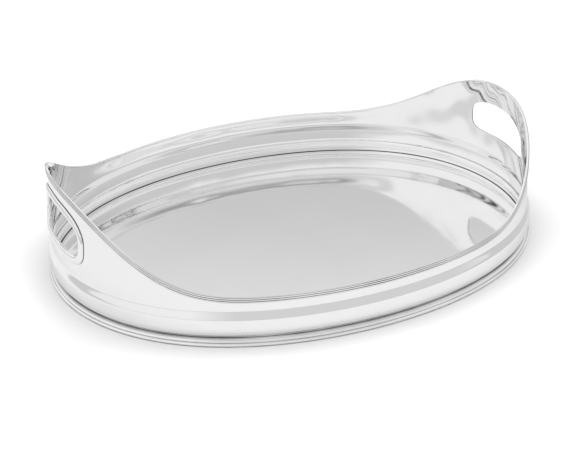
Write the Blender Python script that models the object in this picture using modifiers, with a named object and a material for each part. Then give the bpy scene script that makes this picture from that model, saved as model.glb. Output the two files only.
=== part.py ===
"""Oval two-handled serving tray in polished sheet metal, built from seven separate pieces.

A flat floor panel lies on the lip of a moulded foot. A gallery wall of two identical halves
stands on the panel's edge, and sweeps up at each end of the oval into a handle with an oval
hand hole. A reeded border caps the rim all the way round, and a raised collar borders each
hand hole on the outside. Metres, +Z up, origin at the centre of the oval on the ground plane,
+X along the length.
"""

import bisect
import math

import bmesh
import bpy
from mathutils import Vector

# Driving dimensions, in metres. An "offset" is a distance from the foot's outer outline,
# measured square to it in plan, negative towards the middle of the tray.
HALF_LENGTH = 0.2500
HALF_WIDTH = 0.1960
SQUARENESS = 0.0098        # share of the third harmonic: 0 is an ellipse, more is squarer
STATIONS = 96              # sections round the oval, a multiple of four
GAUGE = 0.0013             # sheet of the gallery and of the floor panel
GAP = 0.0003               # soldering gap between pieces that touch

FOOT_LIP_TOP = 0.0020
FOOT_LIP_INNER = -0.0130
FOOT_BEAD_RADIUS = 0.0016
FOOT_TOP = 0.0080
WALL_FOOT_OFFSET = -0.0046

FLOOR_BOTTOM = FOOT_LIP_TOP + GAP
FLOOR_TOP = FLOOR_BOTTOM + GAUGE

GROOVE_HEIGHT = 0.0094
GROOVE_OFFSET = -0.0050
BELLY_HEIGHT = 0.0165
BELLY_OFFSET = -0.0011
SHOULDER_HEIGHT = 0.0262   # here the upright belly turns into the cone that leads in to the waist
SHOULDER_OFFSET = -0.0013
WAIST_HEIGHT = 0.0358
WAIST_OFFSET = -0.0045

RIM_LOW = 0.0497           # height of the border's top along the sides
RIM_OFFSET = -0.0035       # offset of the gallery's outer face under the border, along the sides
HANDLE_RISE = 0.0686       # how much higher the border is at the handles
HANDLE_REACH = 0.2483      # distance round the oval from a handle's top to the level rim
HANDLE_EASE = 1.26         # above 1 broadens the handle's crown
HANDLE_TAPER = 0.2233      # narrows the lobe halfway up and lets its foot run out softly
HANDLE_LEAN = -0.0624      # offset gained for each metre of rise

BORDER_DEPTH = 0.0057
BORDER_PROUD = 0.0015      # crest of the reeds, out from the gallery's outer face
BORDER_ROOT = 0.0009       # bottom of the valleys between the reeds
BORDER_CAP = 0.0009        # thickness of the border over the gallery's top edge
BORDER_INNER_DROP = 0.0003
REEDS = 3

HOLE_HALF_WIDTH = 0.0531
HOLE_HALF_HEIGHT = 0.0188
HOLE_ROUNDNESS = 3.4
HOLE_HEIGHT = 0.0767
HOLE_DROOP = 0.0053        # how much lower the hole's ends are than its middle
HOLE_STATIONS = 40
COLLAR_WIDTH = 0.0080
COLLAR_PROUD = 0.0020

COLLECTION = "serving_tray"
METAL_COLOUR = (0.86, 0.86, 0.87, 1.0)


def clear_scene():
    for item in list(bpy.data.objects):
        bpy.data.objects.remove(item, do_unlink=True)


def make_collections():
    parts = bpy.data.collections.new(COLLECTION)
    cutters = bpy.data.collections.new(COLLECTION + "_cutters")
    for group in (parts, cutters):
        bpy.context.scene.collection.children.link(group)
    return parts, cutters


def metal(name, roughness):
    material = bpy.data.materials.new(name)
    material.use_nodes = True
    shader = material.node_tree.nodes["Principled BSDF"]
    shader.inputs["Base Color"].default_value = METAL_COLOUR
    shader.inputs["Metallic"].default_value = 1.0
    shader.inputs["Roughness"].default_value = roughness
    return material


# ---------------------------------------------------------------- the oval


def oval_point(angle):
    """Point of the foot's outer outline, and its outward normal, at an angle of the oval."""
    scale = 1.0 / (1.0 - SQUARENESS)
    x = HALF_LENGTH * scale * (math.cos(angle) - SQUARENESS * math.cos(3.0 * angle))
    y = HALF_WIDTH * scale * (math.sin(angle) + SQUARENESS * math.sin(3.0 * angle))
    run_x = -HALF_LENGTH * (math.sin(angle) - 3.0 * SQUARENESS * math.sin(3.0 * angle))
    run_y = HALF_WIDTH * (math.cos(angle) + 3.0 * SQUARENESS * math.cos(3.0 * angle))
    return Vector((x, y, 0.0)), Vector((run_y, -run_x, 0.0)).normalized()


def quarter_table(steps=2000):
    """Arc length of the outline from the end of the oval, and the angle it belongs to."""
    lengths = [0.0]
    angles = [0.0]
    last = oval_point(0.0)[0]
    for i in range(1, steps + 1):
        angle = 0.5 * math.pi * i / steps
        point = oval_point(angle)[0]
        lengths.append(lengths[-1] + (point - last).length)
        angles.append(angle)
        last = point
    return lengths, angles


ARC_LENGTHS, ARC_ANGLES = quarter_table()
QUARTER = ARC_LENGTHS[-1]


def angle_at(distance):
    """Angle of the oval at a distance along the outline, 0 to QUARTER, from its end."""
    i = min(max(bisect.bisect_left(ARC_LENGTHS, distance), 1), len(ARC_LENGTHS) - 1)
    span = ARC_LENGTHS[i] - ARC_LENGTHS[i - 1]
    part = (distance - ARC_LENGTHS[i - 1]) / span
    return ARC_ANGLES[i - 1] + part * (ARC_ANGLES[i] - ARC_ANGLES[i - 1])


def outline_frame(distance):
    """Point and outward normal at a signed distance round the outline from the +X end."""
    turn = distance % (4.0 * QUARTER)
    quadrant = int(turn // QUARTER)
    along = turn - quadrant * QUARTER
    if quadrant % 2:
        along = QUARTER - along
    point, normal = oval_point(angle_at(along))
    side_x = -1.0 if quadrant in (1, 2) else 1.0
    side_y = -1.0 if quadrant in (2, 3) else 1.0
    flip = Vector((side_x, side_y, 1.0))
    return point * flip, normal * flip


def at_offset(distance, offset, height):
    point, normal = outline_frame(distance)
    return point + normal * offset + Vector((0.0, 0.0, height))


def oval_distances():
    return [4.0 * QUARTER * i / STATIONS for i in range(STATIONS)]


# ---------------------------------------------------------------- heights and section


def rim_height(distance):
    """Height of the border's top: level along the sides, one lobe at each end."""
    along = distance % (2.0 * QUARTER)
    from_end = min(along, 2.0 * QUARTER - along)
    turn = math.pi * min(from_end / HANDLE_REACH, 1.0) ** HANDLE_EASE
    lobe = 0.5 * (1.0 + math.cos(turn)) - HANDLE_TAPER * math.sin(turn) ** 2
    return RIM_LOW + HANDLE_RISE * lobe


def rim_edge(distance):
    """Point at the border's top, above the gallery's outer face."""
    height = rim_height(distance)
    offset = RIM_OFFSET + HANDLE_LEAN * (height - RIM_LOW)
    return at_offset(distance, offset, height)


def rim_frame(distance):
    """Point of the rim's edge, the wall's outward normal and the wall's upward direction."""
    step = 0.0005
    tangent = (rim_edge(distance + step) - rim_edge(distance - step)).normalized()
    outward = outline_frame(distance)[1]
    upward = outward.cross(tangent).normalized()
    return rim_edge(distance), outward, upward


def lower_offset(height):
    """Offset of the gallery's outer face from its foot to its waist."""
    if height <= FOOT_TOP:
        return WALL_FOOT_OFFSET
    if height <= GROOVE_HEIGHT:
        part = (height - FOOT_TOP) / (GROOVE_HEIGHT - FOOT_TOP)
        return WALL_FOOT_OFFSET + part * (GROOVE_OFFSET - WALL_FOOT_OFFSET)
    if height <= BELLY_HEIGHT:
        part = (BELLY_HEIGHT - height) / (BELLY_HEIGHT - GROOVE_HEIGHT)
        return GROOVE_OFFSET + (BELLY_OFFSET - GROOVE_OFFSET) * math.sqrt(1.0 - part * part)
    if height <= SHOULDER_HEIGHT:
        part = (height - BELLY_HEIGHT) / (SHOULDER_HEIGHT - BELLY_HEIGHT)
        return BELLY_OFFSET + (SHOULDER_OFFSET - BELLY_OFFSET) * part * part
    part = (height - SHOULDER_HEIGHT) / (WAIST_HEIGHT - SHOULDER_HEIGHT)
    return SHOULDER_OFFSET + (WAIST_OFFSET - SHOULDER_OFFSET) * part


def wall_top(distance):
    """Height and offset of the top edge of the gallery's outer face, under the border's cap."""
    step = 0.0005
    climb = (rim_height(distance + step) - rim_height(distance - step)) / (2.0 * step)
    height = rim_height(distance)
    offset = RIM_OFFSET + HANDLE_LEAN * (height - RIM_LOW)
    return height - (BORDER_CAP + GAP) * math.sqrt(1.0 + climb * climb), offset


def upper_offset(distance, height):
    """Offset of the gallery's outer face above its waist."""
    top, offset = wall_top(distance)
    part = (height - WAIST_HEIGHT) / (top - WAIST_HEIGHT)
    return WAIST_OFFSET + (offset - WAIST_OFFSET) * part * part * (3.0 - 2.0 * part)


def lower_heights():
    """Heights of the gallery's rows up to the waist, closer where the section turns."""
    rows = [FLOOR_TOP + GAP, FOOT_TOP, GROOVE_HEIGHT]
    for degrees in (30, 55, 75, 90):
        sine = math.sin(math.radians(degrees))
        rows.append(BELLY_HEIGHT - (BELLY_HEIGHT - GROOVE_HEIGHT) * (1.0 - sine))
    rows.append(0.5 * (BELLY_HEIGHT + SHOULDER_HEIGHT))
    rows.append(SHOULDER_HEIGHT)
    rows.append(0.5 * (SHOULDER_HEIGHT + WAIST_HEIGHT))
    rows.append(WAIST_HEIGHT)
    return rows


# ---------------------------------------------------------------- mesh helpers


def mesh_object(name, bm, collection, material=None, smooth_angle=35.0):
    bmesh.ops.recalc_face_normals(bm, faces=bm.faces)
    mesh = bpy.data.meshes.new(name)
    bm.to_mesh(mesh)
    bm.free()
    mesh.shade_smooth()
    mesh.set_sharp_from_angle(angle=math.radians(smooth_angle))
    item = bpy.data.objects.new(name, mesh)
    if material:
        mesh.materials.append(material)
    collection.objects.link(item)
    return item


def loft(rings, closed_path, closed_ring, caps=False):
    """Faces between successive rings of points; a closed path also joins last to first."""
    bm = bmesh.new()
    grid = [[bm.verts.new(point) for point in ring] for ring in rings]
    count = len(grid[0])
    last_ring = len(grid) if closed_path else len(grid) - 1
    last_point = count if closed_ring else count - 1
    for i in range(last_ring):
        here = grid[i]
        there = grid[(i + 1) % len(grid)]
        for j in range(last_point):
            k = (j + 1) % count
            bm.faces.new((here[j], there[j], there[k], here[k]))
    if caps:
        bm.faces.new(grid[0])
        bm.faces.new(grid[-1])
    return bm


# ---------------------------------------------------------------- pieces


def build_floor_panel(parts):
    """Flat oval sheet; its edge lies on the foot's lip, under the gallery."""
    curve = bpy.data.curves.new("floor_panel", "CURVE")
    curve.dimensions = "2D"
    curve.fill_mode = "BOTH"
    curve.extrude = 0.5 * GAUGE
    spline = curve.splines.new("POLY")
    spline.points.add(STATIONS - 1)
    for point, distance in zip(spline.points, oval_distances()):
        place = at_offset(distance, WALL_FOOT_OFFSET, 0.0)
        point.co = (place.x, place.y, 0.0, 1.0)
    spline.use_cyclic_u = True
    outline = bpy.data.objects.new("floor_panel_outline", curve)
    parts.objects.link(outline)
    bpy.context.view_layer.update()
    depsgraph = bpy.context.evaluated_depsgraph_get()
    mesh = bpy.data.meshes.new_from_object(outline.evaluated_get(depsgraph))
    bpy.data.objects.remove(outline, do_unlink=True)
    bm = bmesh.new()
    bm.from_mesh(mesh)
    bpy.data.meshes.remove(mesh)
    bmesh.ops.remove_doubles(bm, verts=bm.verts, dist=0.00001)
    panel = mesh_object("floor_panel", bm, parts, metal("floor_metal", 0.16))
    panel.location.z = 0.5 * (FLOOR_BOTTOM + FLOOR_TOP)
    return panel


def foot_section():
    """Closed section of the foot as (offset, height), from the inner end of its lip round."""
    radius = FOOT_BEAD_RADIUS
    points = [(FOOT_LIP_INNER, FOOT_LIP_TOP), (FOOT_LIP_INNER, 0.0)]
    for degrees in range(-90, 61, 30):
        turn = math.radians(degrees)
        points.append((radius * (math.cos(turn) - 1.0), radius * (math.sin(turn) + 1.0)))
    cove_low = (-0.0014, 0.0036)
    cove_top = (WALL_FOOT_OFFSET + GAP + 0.0005, FOOT_TOP)
    steps = 4
    for i in range(steps + 1):
        turn = 0.5 * math.pi * i / steps
        points.append((cove_top[0] + (cove_low[0] - cove_top[0]) * (1.0 - math.sin(turn)),
                       cove_top[1] + (cove_low[1] - cove_top[1]) * math.cos(turn)))
    points.append((WALL_FOOT_OFFSET + GAP, FOOT_TOP))
    points.append((WALL_FOOT_OFFSET + GAP, FOOT_LIP_TOP))
    return points


def build_foot_moulding(parts):
    """Drawn moulding: bead, cove up to the groove, and a lip in under the floor panel."""
    section = foot_section()
    rings = []
    for distance in oval_distances():
        rings.append([at_offset(distance, offset, height) for offset, height in section])
    bm = loft(rings, closed_path=True, closed_ring=True)
    return mesh_object("foot_moulding", bm, parts, metal("foot_metal", 0.08))


def wall_column(distance):
    """The gallery's outer face from its foot to its top edge, at one station."""
    column = [at_offset(distance, lower_offset(z), z) for z in lower_heights()]
    top = wall_top(distance)[0]
    for part in (0.12, 0.28, 0.46, 0.64, 0.82, 1.0):
        z = WAIST_HEIGHT + (top - WAIST_HEIGHT) * part
        column.append(at_offset(distance, upper_offset(distance, z), z))
    return column


def half_distances():
    """Stations of the half gallery at the +X end; its two ends stop short of the seam."""
    seam = QUARTER - 0.5 * GAP
    count = STATIONS // 2
    middle = [QUARTER * 2.0 * i / count - QUARTER for i in range(1, count)]
    return [-seam] + middle + [seam]


def hand_hole(turn, widen=0.0):
    """Point of the hand hole's outline as (distance round the oval, height)."""
    c = math.cos(turn)
    s = math.sin(turn)
    power = 2.0 / HOLE_ROUNDNESS
    across = math.copysign(abs(c) ** power, c)
    upward = math.copysign(abs(s) ** power, s)
    slope = HOLE_ROUNDNESS - 1.0
    normal = Vector((math.copysign(abs(across) ** slope, c) / HOLE_HALF_WIDTH,
                     math.copysign(abs(upward) ** slope, s) / HOLE_HALF_HEIGHT)).normalized()
    distance = HOLE_HALF_WIDTH * across + normal.x * widen
    height = HOLE_HALF_HEIGHT * upward + normal.y * widen
    droop = HOLE_DROOP * (distance / HOLE_HALF_WIDTH) ** 2
    return distance, HOLE_HEIGHT + height - droop


def hole_turns():
    """Even steps along the hole's outline rather than in angle."""
    fine = 1440
    points = [Vector(hand_hole(2.0 * math.pi * i / fine)) for i in range(fine + 1)]
    lengths = [0.0]
    for first, second in zip(points, points[1:]):
        lengths.append(lengths[-1] + (second - first).length)
    turns = []
    for k in range(HOLE_STATIONS):
        i = bisect.bisect_left(lengths, lengths[-1] * k / HOLE_STATIONS)
        turns.append(2.0 * math.pi * i / fine)
    return turns


def wall_outer(distance, height):
    if height <= WAIST_HEIGHT:
        return at_offset(distance, lower_offset(height), height)
    return at_offset(distance, upper_offset(distance, height), height)


def wall_normal(distance, height):
    step = 0.0005
    along = wall_outer(distance + step, height) - wall_outer(distance - step, height)
    upward = wall_outer(distance, height + step) - wall_outer(distance, height - step)
    return along.cross(upward).normalized()


def build_hole_cutter(cutters, side):
    """Plug with the hand hole's outline, square to the handle, through its full thickness."""
    reach = 0.012
    rings = []
    for push in (-reach, reach):
        ring = []
        for turn in hole_turns():
            distance, height = hand_hole(turn)
            ring.append(wall_outer(distance, height) + wall_normal(distance, height) * push)
        rings.append([Vector((p.x * side, p.y, p.z)) for p in ring])
    bm = loft(rings, closed_path=False, closed_ring=True, caps=True)
    name = "hand_hole_cutter_right" if side > 0 else "hand_hole_cutter_left"
    cutter = mesh_object(name, bm, cutters)
    cutter.hide_render = True
    cutter.display_type = "WIRE"
    return cutter


def build_gallery_half(parts, cutters, side):
    """Half of the gallery wall: one sheet, with the hand hole cut through its handle."""
    columns = []
    for distance in half_distances():
        columns.append([Vector((p.x * side, p.y, p.z)) for p in wall_column(distance)])
    bm = loft(columns, closed_path=False, closed_ring=False)
    name = "gallery_half_right" if side > 0 else "gallery_half_left"
    half = mesh_object(name, bm, parts, metal(name + "_metal", 0.06))
    middle = half.data.polygons[len(half.data.polygons) // 2]
    if middle.normal.x * side < 0.0:
        half.data.flip_normals()
    sheet = half.modifiers.new("Sheet", "SOLIDIFY")
    sheet.thickness = GAUGE
    sheet.offset = -1.0
    sheet.use_even_offset = True
    hole = half.modifiers.new("Hand hole", "BOOLEAN")
    hole.operation = "DIFFERENCE"
    hole.solver = "EXACT"
    hole.object = build_hole_cutter(cutters, side)
    return half


def border_section():
    """Section of the border as (outward, upward) from the rim's edge: cap, back and reeds."""
    points = [(-GAUGE, -BORDER_CAP), (GAP, -BORDER_CAP), (GAP, -BORDER_DEPTH)]
    pitch = BORDER_DEPTH / REEDS
    steps = 4
    for k in range(REEDS):
        centre = -BORDER_DEPTH + pitch * (k + 0.5)
        for i in range(steps):
            turn = math.pi * (i / steps - 0.5)
            points.append((BORDER_ROOT + (BORDER_PROUD - BORDER_ROOT) * math.cos(turn),
                           centre + 0.5 * pitch * math.sin(turn)))
    points.append((0.5 * BORDER_ROOT, 0.0))
    points.append((-GAUGE, -BORDER_INNER_DROP))
    return points


def build_rim_border(parts):
    """Reeded border all round the rim: it caps the gallery's edge and laps its outer face."""
    section = border_section()
    rings = []
    for distance in oval_distances():
        edge, outward, upward = rim_frame(distance)
        rings.append([edge + outward * out + upward * up for out, up in section])
    bm = loft(rings, closed_path=True, closed_ring=True)
    return mesh_object("rim_border", bm, parts, metal("rim_metal", 0.05))


def collar_section():
    """Low dome as (distance out from the hole's edge, height off the wall)."""
    steps = 6
    points = []
    for i in range(steps + 1):
        turn = math.pi * i / steps
        points.append((0.5 * COLLAR_WIDTH * (1.0 - math.cos(turn)),
                       GAP + COLLAR_PROUD * math.sin(turn)))
    return points


def build_hand_hole_collar(parts, side):
    """Raised collar soldered round the hand hole, on the handle's outer face."""
    section = collar_section()
    rings = []
    for turn in hole_turns():
        ring = []
        for widen, proud in section:
            distance, height = hand_hole(turn, widen)
            point = wall_outer(distance, height) + wall_normal(distance, height) * proud
            ring.append(Vector((point.x * side, point.y, point.z)))
        rings.append(ring)
    bm = loft(rings, closed_path=True, closed_ring=True)
    name = "hand_hole_collar_right" if side > 0 else "hand_hole_collar_left"
    return mesh_object(name, bm, parts, metal(name + "_metal", 0.06))


def main():
    clear_scene()
    parts, cutters = make_collections()
    build_foot_moulding(parts)
    build_floor_panel(parts)
    for side in (1.0, -1.0):
        build_gallery_half(parts, cutters, side)
        build_hand_hole_collar(parts, side)
    build_rim_border(parts)


main()
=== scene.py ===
"""Oval two-handled serving tray in polished sheet metal, with a plain studio round it.

Run as a script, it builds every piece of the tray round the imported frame. Metres, +Z up,
origin at the centre of the oval on the ground plane, +X along the length.
"""

import math

import bpy
import numpy as np
from bpy.props import FloatProperty, FloatVectorProperty, IntProperty, PointerProperty
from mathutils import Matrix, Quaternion, Vector


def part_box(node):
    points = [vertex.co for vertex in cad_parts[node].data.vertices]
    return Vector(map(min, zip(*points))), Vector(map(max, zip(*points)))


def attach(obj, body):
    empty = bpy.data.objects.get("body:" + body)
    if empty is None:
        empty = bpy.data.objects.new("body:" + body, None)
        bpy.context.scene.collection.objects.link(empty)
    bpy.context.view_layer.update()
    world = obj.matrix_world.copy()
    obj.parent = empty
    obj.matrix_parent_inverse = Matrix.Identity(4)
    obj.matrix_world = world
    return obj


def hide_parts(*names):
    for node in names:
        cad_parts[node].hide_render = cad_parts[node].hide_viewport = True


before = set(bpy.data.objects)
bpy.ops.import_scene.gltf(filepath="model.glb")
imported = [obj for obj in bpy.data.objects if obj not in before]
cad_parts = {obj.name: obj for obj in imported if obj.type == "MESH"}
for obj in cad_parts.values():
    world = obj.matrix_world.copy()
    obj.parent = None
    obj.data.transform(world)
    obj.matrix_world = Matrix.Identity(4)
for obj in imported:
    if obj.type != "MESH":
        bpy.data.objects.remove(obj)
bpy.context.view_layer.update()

bl_info = {
    "name": "Oval Serving Tray",
    "version": (1, 0, 0),
    "blender": (4, 5, 0),
    "location": "3D View > Sidebar > Tray",
    "description": "Builds a polished oval serving tray with two handles, piece by piece",
    "category": "Add Mesh",
}

BODY = "root"

FOOT_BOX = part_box("foot_moulding")
FLOOR_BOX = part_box("floor_panel")
RIM_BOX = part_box("rim_border")

SQUARENESS = 0.0098        # share of the third harmonic in the oval
GAP = 0.0003               # soldering gap between pieces that touch
OUTLINE_STEPS = 8000       # steps of the table of distances round the oval

FOOT_LIP_TOP = 0.0020
FOOT_LIP_INNER = -0.0130
FOOT_BEAD_RADIUS = 0.0016
FOOT_TOP = FOOT_BOX[1].z
FOOT_COVE_LOW = (-0.0014, 0.0036)
FOOT_COVE_TOP = (-0.0038, FOOT_TOP)
WALL_FOOT_OFFSET = -0.0046

GROOVE_HEIGHT = 0.0094
GROOVE_OFFSET = -0.0050
BELLY_HEIGHT = 0.0165
BELLY_OFFSET = -0.0011
SHOULDER_HEIGHT = 0.0262   # here the upright belly turns into the cone that leads in to the waist
SHOULDER_OFFSET = -0.0013
WAIST_HEIGHT = 0.0358
WAIST_OFFSET = -0.0045
CONE_BLEND = 0.16          # share of the cone that eases into its neighbours, at each end

RIM_OFFSET = -0.0035       # offset of the gallery's outer face under the border, along the sides
HANDLE_REACH = 0.2483      # distance round the oval from a handle's top to the level rim
HANDLE_EASE = 1.26
HANDLE_TAPER = 0.2233
HANDLE_LEAN = -0.0624      # offset gained for each metre of rise

BORDER_CAP = 0.0009        # thickness of the border over the gallery's top edge
BORDER_INNER_DROP = 0.0003

HOLE_ROUNDNESS = 3.4
HOLE_HEIGHT = 0.0767
HOLE_DROOP = 0.0053
HOLE_LIP = 0.00045         # rounding of the sheet's edge round a hand hole
JOINT_SHADE = "joint_shade"              # mesh attribute: how deep in a joint a point lies, which sets how much shade is painted there
CREASE_REACH = 0.0006      # how far the shade painted in a joint reaches up the gallery's inner face
GROOVE_REACH = 0.0024      # the same on its outer face, above the foot
COVE_REACH = 0.0034        # the same down the foot's cove
CROOK_REACH = 0.0006       # the same round the line between the foot's bead and its cove
SHORT_STEP = 0.0005        # distance round the oval over which a slope is taken
PATCH_STATIONS = 20        # stations each side of a handle's middle that the hole's mesh takes

SWELL_DEPTH = 0.00004      # depth of the faint swells in the floor panel
FLOOR_SWELLS = (           # radians for each metre along and across, phase, share of the depth
    (23.0, 11.0, 0.7, 1.0), (-17.0, 34.0, 2.1, 0.7), (71.0, 23.0, 0.0, 0.25),
    (-35.0, 88.0, 1.0, 0.22))
HAZE_SCALE = 18.0          # patches of haze in a metre, roughly
WEAR_SCALE = 260.0         # the same for the breaks in a rubbed band
WEAR_ROUGHNESS = 0.10      # roughness that rubbing adds
TABLE_EDGE = 1.12          # share of the white surface's reach at which it has faded out
BACKDROP = 1.2             # brightness that the camera sees above the horizon

# Studio light by elevation, as (degrees, brightness), on the camera's side, beyond the tray
# and to the camera's left: broad bright panels with thin dark gaps between them.
FRONT_LIGHT = (
    (-90.0, 1.0), (-2.0, 0.78), (13.0, 0.78), (16.0, 1.10), (21.0, 1.10), (24.0, 0.76),
    (34.0, 0.82), (37.5, 0.35), (41.0, 1.05), (55.0, 1.0), (58.0, 0.35), (61.0, 1.0),
    (66.0, 0.40), (70.0, 1.05), (90.0, 1.08))
REAR_LIGHT = (
    (-90.0, 1.0), (0.0, 1.02), (16.0, 1.02), (18.0, 0.40), (19.5, 1.02), (21.0, 0.70),
    (25.0, 0.66), (27.0, 0.70), (29.0, 0.81), (31.5, 0.92), (36.0, 0.97), (90.0, 1.08))
LEFT_LIGHT = (
    (-90.0, 1.0), (-2.0, 0.98), (10.0, 1.04), (20.0, 1.12), (26.5, 1.12), (28.0, 0.86),
    (31.0, 0.86), (32.5, 1.15), (36.0, 1.15), (37.5, 0.35), (39.0, 1.10), (55.0, 1.05),
    (58.0, 0.50), (61.0, 1.05), (90.0, 1.08))


# ---------------------------------------------------------------- settings


def length_setting(name, description, metres):
    return FloatProperty(name=name, description=description, default=metres, unit="LENGTH")


def angle_setting(name, description, degrees):
    return FloatProperty(name=name, description=description, default=math.radians(degrees),
                         unit="ROTATION")


def colour_setting(name, description, red, green, blue):
    return FloatVectorProperty(name=name, description=description, subtype="COLOR", size=3,
                               default=(red, green, blue))


def spot_setting(name, description, x, y):
    return FloatVectorProperty(name=name, description=description, subtype="XYZ", size=2,
                               default=(x, y), unit="LENGTH")


class TrayShape(bpy.types.PropertyGroup):
    """Sizes of the tray."""

    half_length: length_setting(
        "Half Length", "Half the length of the foot's outline", FOOT_BOX[1].x)
    half_width: length_setting(
        "Half Width", "Half the width of the foot's outline", 0.1960)
    gauge: length_setting(
        "Sheet Gauge", "Thickness of the gallery and the floor panel",
        FLOOR_BOX[1].z - FLOOR_BOX[0].z)
    rim_low: length_setting(
        "Rim Height", "Height of the border's top along the sides", 0.0497)
    border_depth: length_setting(
        "Border Depth", "How far the reeded border laps down the gallery", 0.0057)
    border_proud: length_setting(
        "Border Height", "How far the reeds' crests stand off the gallery", 0.0015)
    reeds: IntProperty(
        name="Reeds", description="Number of reeds in the border", default=3, min=1, max=6)
    hole_half_width: length_setting(
        "Hole Half Width", "Half the width of a hand hole", 0.0531)
    hole_half_height: length_setting(
        "Hole Half Height", "Half the height of a hand hole", 0.0188)
    collar_width: length_setting(
        "Collar Width", "Width of the raised border of a hand hole", 0.0080)
    collar_proud: length_setting(
        "Collar Height", "How far that border stands off the handle", 0.0020)
    stations: IntProperty(
        name="Stations", description="Sections round the oval, a multiple of four",
        default=384, min=192, max=768)
    waviness: length_setting(
        "Waviness", "Depth of the ripples that forming and polishing leave", 0.00009)


class TrayFinish(bpy.types.PropertyGroup):
    """Colours and surface of the polished metal."""

    metal_colour: colour_setting("Metal", "Colour of the clean metal", 0.92, 0.92, 0.922)
    tarnish_colour: colour_setting(
        "Tarnish", "Colour where the metal is rubbed or tarnished", 0.66, 0.66, 0.67)
    # Colour of the shade painted deep in the joints between pieces.
    joint_shade_colour: colour_setting(
        "Seam", "Colour deep in the joints between pieces", 0.10, 0.10, 0.105)
    roughness: FloatProperty(
        name="Roughness", description="Roughness of freshly polished metal",
        default=0.035, min=0.0, max=1.0)
    scratch_depth: length_setting("Scratch Depth", "Depth of the polishing marks", 0.000004)


class TrayStage(bpy.types.PropertyGroup):
    """The studio: floor, light and camera."""

    floor_colour: colour_setting("Floor", "Colour of the studio floor", 0.93, 0.93, 0.93)
    table_colour: colour_setting(
        "Table", "Tone of the white surface in reflections", 0.79, 0.79, 0.79)
    surround_colour: colour_setting(
        "Surround", "Tone beyond the white surface in reflections", 0.55, 0.55, 0.55)
    table_centre: spot_setting("Table Centre", "Middle of the white surface", -0.10, -0.08)
    table_reach: spot_setting(
        "Table Reach", "How far the white surface reaches in reflections", 0.365, 0.46)
    light: FloatProperty(
        name="Light", description="Strength of the studio light", default=0.89, min=0.0)
    fill: FloatProperty(
        name="Fill", description="Brightness of the overhead light that falls on the floor",
        default=3.25, min=0.0)
    azimuth: angle_setting("Azimuth", "Camera's turn round the tray", -23.24)
    elevation: angle_setting("Elevation", "Camera's height above the horizon", 28.07)
    roll: angle_setting("Roll", "Camera's tilt about its own line of sight", -1.53)
    distance: length_setting("Distance", "Camera's distance from the tray's origin", 1.5376)
    aim_right: length_setting(
        "Aim Right", "Point aimed at, to the right of the origin", -0.0061)
    aim_up: length_setting("Aim Up", "Point aimed at, above the origin in the view", 0.0084)
    lens: FloatProperty(
        name="Lens", description="Focal length in millimetres", default=94.2)


# ---------------------------------------------------------------- the oval and the wall


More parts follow.
